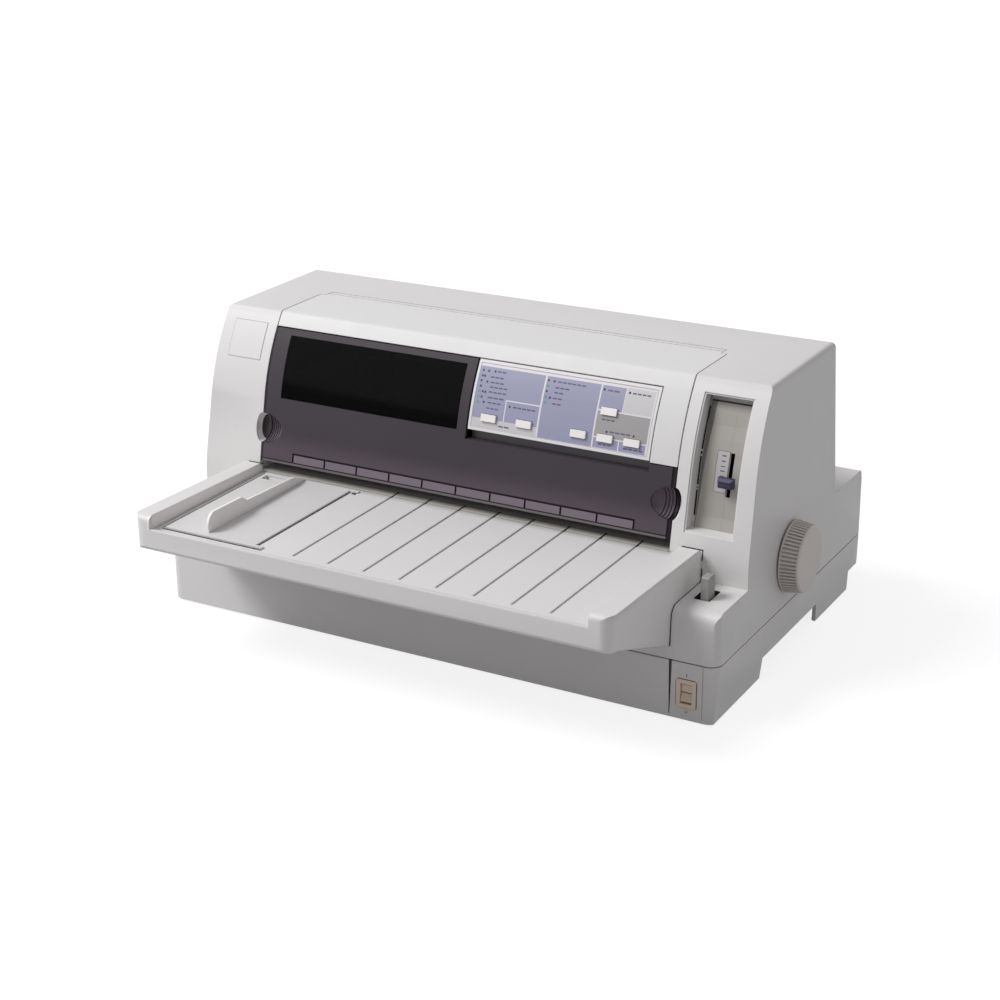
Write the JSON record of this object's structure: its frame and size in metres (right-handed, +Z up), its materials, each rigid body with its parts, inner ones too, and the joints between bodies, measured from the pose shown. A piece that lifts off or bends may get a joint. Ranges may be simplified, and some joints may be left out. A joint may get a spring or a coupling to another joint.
{
  "type": "dot matrix printer",
  "caption": "Flatbed dot matrix printer with a hinged cover over the carriage and platen, a front paper tray with a sliding edge guide, a side knob and a rear tractor feed.",
  "frame": {"origin": "on the surface that it stands on, under the middle of its whole width and depth", "axes": "+X to the right as seen from the front, +Y from the front tray to the back, +Z up"},
  "size_m": [0.472, 0.37, 0.2162],
  "materials": {
    "housing": "fine moulded texture",
    "cover": "fine moulded texture",
    "smoked": "smoked, glossy",
    "foot_rubber": "soft black",
    "screw_steel": "zinc plated",
    "sheet_steel": "zinc plated sheet",
    "bed": "dark paint",
    "panel_white": "satin",
    "panel_film": "printed film",
    "board_green": "solder mask",
    "board_tan": "bare laminate",
    "key_cap": "satin",
    "shaft_steel": "ground",
    "lever_purple": "satin",
    "lever_grey": "satin",
    "roller_rubber": "ground",
    "roller_grey": "satin",
    "gear_nylon": "natural nylon",
    "brass": "turned",
    "motor_grey": "satin",
    "black_plastic": "satin",
    "head_metal": "black cast",
    "belt_black": "ribbed",
    "knob_grey": "satin",
    "switch_tan": "satin",
    "bezel_tan": "satin"
  },
  "bodies": {
    "machine": {"lower_case": "housing", "upper_case": "housing", "rubber_feet": "foot_rubber", "case_screws": "screw_steel", "frame_screws": "screw_steel", "chassis_plate": "sheet_steel", "left_side_frame": "sheet_steel", "right_side_frame": "sheet_steel", "front_rail": "sheet_steel", "paper_bed": "bed", "front_tray": "housing", "panel_frame": "panel_white", "panel_sheet": "panel_film", "panel_board": "board_green", "release_bracket": "sheet_steel", "feed_motor": "motor_grey", "carriage_motor": "motor_grey", "drive_belt": "belt_black", "tractor_bar": "shaft_steel", "main_board": "board_green", "power_board": "board_tan", "ac_inlet": "black_plastic", "switch_bezel": "bezel_tan"},
    "cover": {"printer_cover": "cover", "front_cover": "smoked"},
    "gap_lever": {"thickness_lever": "lever_purple", "guide_shaft": "shaft_steel"},
    "release": {"release_lever": "lever_grey"},
    "guide": {"edge_guide": "housing"},
    "key1": {"key_1": "key_cap"},
    "key2": {"key_2": "key_cap"},
    "key3": {"key_3": "key_cap"},
    "key4": {"key_4": "key_cap"},
    "key5": {"key_5": "key_cap"},
    "key6": {"key_6": "key_cap"},
    "platen": {"platen_roller": "roller_rubber", "platen_shaft": "shaft_steel", "platen_knob": "knob_grey"},
    "front_feed": {"front_feed_rollers": "roller_rubber"},
    "rear_feed": {"rear_feed_rollers": "roller_rubber"},
    "front_press": {"front_pressure_rollers": "roller_grey"},
    "rear_press": {"rear_pressure_rollers": "roller_grey"},
    "front_idler": {"front_idler_gear": "gear_nylon"},
    "rear_idler": {"rear_idler_gear": "gear_nylon"},
    "tractor_idler": {"tractor_idler_gear": "gear_nylon"},
    "pinion": {"feed_pinion": "brass"},
    "carriage_group": {"carriage": "black_plastic", "print_head": "head_metal", "ribbon_cartridge": "black_plastic"},
    "belt_drive_pulley": {"drive_pulley": "gear_nylon"},
    "belt_idler_pulley": {"idler_pulley": "gear_nylon"},
    "tractor_drive": {"tractor_shaft": "shaft_steel"},
    "tractor_left": {"left_tractor": "black_plastic"},
    "tractor_right": {"right_tractor": "black_plastic"},
    "wheel_left": {"left_sprocket": "gear_nylon"},
    "wheel_right": {"right_sprocket": "gear_nylon"},
    "lid_left": {"left_tractor_lid": "black_plastic"},
    "lid_right": {"right_tractor_lid": "black_plastic"},
    "rear_hood": {"rear_cover": "housing"},
    "rocker": {"switch_rocker": "switch_tan"}
  },
  "joints": [
    {"name": "cover_hinge", "type": "hinge", "parent": "machine", "child": "cover", "pos_m": [-0.007, 0.0554, 0.2146], "axis": [-1, 0, 0], "range_deg": [0, 75]},
    {"name": "gap_lever_hinge", "type": "hinge", "parent": "machine", "child": "gap_lever", "pos_m": [0.1957, 0.0722, 0.1155], "axis": [-1, 0, 0], "range_deg": [-3.5, 10]},
    {"name": "release_hinge", "type": "hinge", "parent": "machine", "child": "release", "pos_m": [0.2013, -0.0682, 0.0495], "axis": [-1, 0, 0], "range_deg": [0, 12]},
    {"name": "edge_guide_slide", "type": "slide", "parent": "machine", "child": "guide", "axis": [1, 0, 0], "range_m": [-0.006, 0.04]},
    {"name": "key_1_press", "type": "slide", "parent": "machine", "child": "key1", "axis": [0, 0.9546, -0.2978], "range_m": [0, 0.0008], "stiffness_N_per_m": 250},
    {"name": "key_2_press", "type": "slide", "parent": "machine", "child": "key2", "axis": [0, 0.9546, -0.2978], "range_m": [0, 0.0008], "stiffness_N_per_m": 250},
    {"name": "key_3_press", "type": "slide", "parent": "machine", "child": "key3", "axis": [0, 0.9546, -0.2978], "range_m": [0, 0.0008], "stiffness_N_per_m": 250},
    {"name": "key_4_press", "type": "slide", "parent": "machine", "child": "key4", "axis": [0, 0.9127, -0.4085], "range_m": [0, 0.0008], "stiffness_N_per_m": 250},
    {"name": "key_5_press", "type": "slide", "parent": "machine", "child": "key5", "axis": [0, 0.9546, -0.2978], "range_m": [0, 0.0008], "stiffness_N_per_m": 250},
    {"name": "key_6_press", "type": "slide", "parent": "machine", "child": "key6", "axis": [0, 0.9546, -0.2978], "range_m": [0, 0.0008], "stiffness_N_per_m": 250},
    {"name": "platen_turn", "type": "hinge", "parent": "machine", "child": "platen", "pos_m": [-0.007, 0.0322, 0.0794], "axis": [1, 0, 0], "continuous": true},
    {"name": "front_feed_turn", "type": "hinge", "parent": "machine", "child": "front_feed", "pos_m": [-0.007, -0.0058, 0.0909], "axis": [1, 0, 0], "continuous": true},
    {"name": "rear_feed_turn", "type": "hinge", "parent": "machine", "child": "rear_feed", "pos_m": [-0.007, 0.0962, 0.0909], "axis": [1, 0, 0], "continuous": true},
    {"name": "front_press_turn", "type": "hinge", "parent": "machine", "child": "front_press", "pos_m": [-0.007, -0.0058, 0.1043], "axis": [1, 0, 0], "continuous": true},
    {"name": "rear_press_turn", "type": "hinge", "parent": "machine", "child": "rear_press", "pos_m": [-0.007, 0.0962, 0.1043], "axis": [1, 0, 0], "continuous": true},
    {"name": "front_idler_turn", "type": "hinge", "parent": "machine", "child": "front_idler", "pos_m": [-0.1945, -0.00147, 0.07189], "axis": [1, 0, 0], "continuous": true},
    {"name": "rear_idler_turn", "type": "hinge", "parent": "machine", "child": "rear_idler", "pos_m": [-0.1945, 0.07266, 0.08108], "axis": [1, 0, 0], "continuous": true},
    {"name": "tractor_idler_turn", "type": "hinge", "parent": "machine", "child": "tractor_idler", "pos_m": [-0.1945, 0.11537, 0.07408], "axis": [1, 0, 0], "continuous": true},
    {"name": "pinion_turn", "type": "hinge", "parent": "machine", "child": "pinion", "pos_m": [-0.1945, 0.05863, 0.05722], "axis": [1, 0, 0], "continuous": true},
    {"name": "carriage_slide", "type": "slide", "parent": "machine", "child": "carriage_group", "axis": [1, 0, 0], "range_m": [-0.134, 0.126]},
    {"name": "drive_pulley_turn", "type": "hinge", "parent": "machine", "child": "belt_drive_pulley", "pos_m": [-0.165, 0.0942, 0.1165], "axis": [0, 0, 1], "continuous": true},
    {"name": "idler_pulley_turn", "type": "hinge", "parent": "machine", "child": "belt_idler_pulley", "pos_m": [0.142, 0.0942, 0.1165], "axis": [0, 0, 1], "continuous": true},
    {"name": "tractor_turn", "type": "hinge", "parent": "machine", "child": "tractor_drive", "pos_m": [-0.007, 0.1422, 0.0875], "axis": [1, 0, 0], "continuous": true},
    {"name": "left_tractor_slide", "type": "slide", "parent": "machine", "child": "tractor_left", "axis": [1, 0, 0], "range_m": [-0.03, 0.06]},
    {"name": "right_tractor_slide", "type": "slide", "parent": "machine", "child": "tractor_right", "axis": [1, 0, 0], "range_m": [-0.06, 0.05]},
    {"name": "left_wheel_slide", "type": "slide", "parent": "tractor_drive", "child": "wheel_left", "axis": [1, 0, 0], "range_m": [-0.03, 0.06]},
    {"name": "right_wheel_slide", "type": "slide", "parent": "tractor_drive", "child": "wheel_right", "axis": [1, 0, 0], "range_m": [-0.06, 0.05]},
    {"name": "left_lid_hinge", "type": "hinge", "parent": "tractor_left", "child": "lid_left", "pos_m": [-0.1378, 0.1442, 0.0985], "axis": [0, -1, 0], "range_deg": [0, 75]},
    {"name": "right_lid_hinge", "type": "hinge", "parent": "tractor_right", "child": "lid_right", "pos_m": [0.1058, 0.1442, 0.0985], "axis": [0, 1, 0], "range_deg": [0, 75]},
    {"name": "rear_cover_hinge", "type": "hinge", "parent": "machine", "child": "rear_hood", "pos_m": [-0.007, 0.1267, 0.1255], "axis": [1, 0, 0], "range_deg": [0, 80]},
    {"name": "switch_hinge", "type": "hinge", "parent": "machine", "child": "rocker", "pos_m": [0.1997, -0.0918, 0.0211], "axis": [1, 0, 0], "range_deg": [0, 16]}
  ],
  "couplings": [
    {"joint": "front_idler_turn", "follows": "platen_turn", "ratio": -2.8333},
    {"joint": "front_feed_turn", "follows": "platen_turn", "ratio": 2.4286},
    {"joint": "rear_idler_turn", "follows": "platen_turn", "ratio": -1.7},
    {"joint": "rear_feed_turn", "follows": "platen_turn", "ratio": 2.4286},
    {"joint": "tractor_idler_turn", "follows": "platen_turn", "ratio": -1.7},
    {"joint": "tractor_turn", "follows": "platen_turn", "ratio": 1.7},
    {"joint": "pinion_turn", "follows": "platen_turn", "ratio": -2.8333},
    {"joint": "front_press_turn", "follows": "platen_turn", "ratio": -3.8857},
    {"joint": "rear_press_turn", "follows": "platen_turn", "ratio": -3.8857},
    {"joint": "drive_pulley_turn", "follows": "carriage_slide", "rad_per_m": 114.94},
    {"joint": "idler_pulley_turn", "follows": "carriage_slide", "rad_per_m": 114.94},
    {"joint": "left_wheel_slide", "follows": "left_tractor_slide", "ratio": 1},
    {"joint": "right_wheel_slide", "follows": "right_tractor_slide", "ratio": 1}
  ]
}
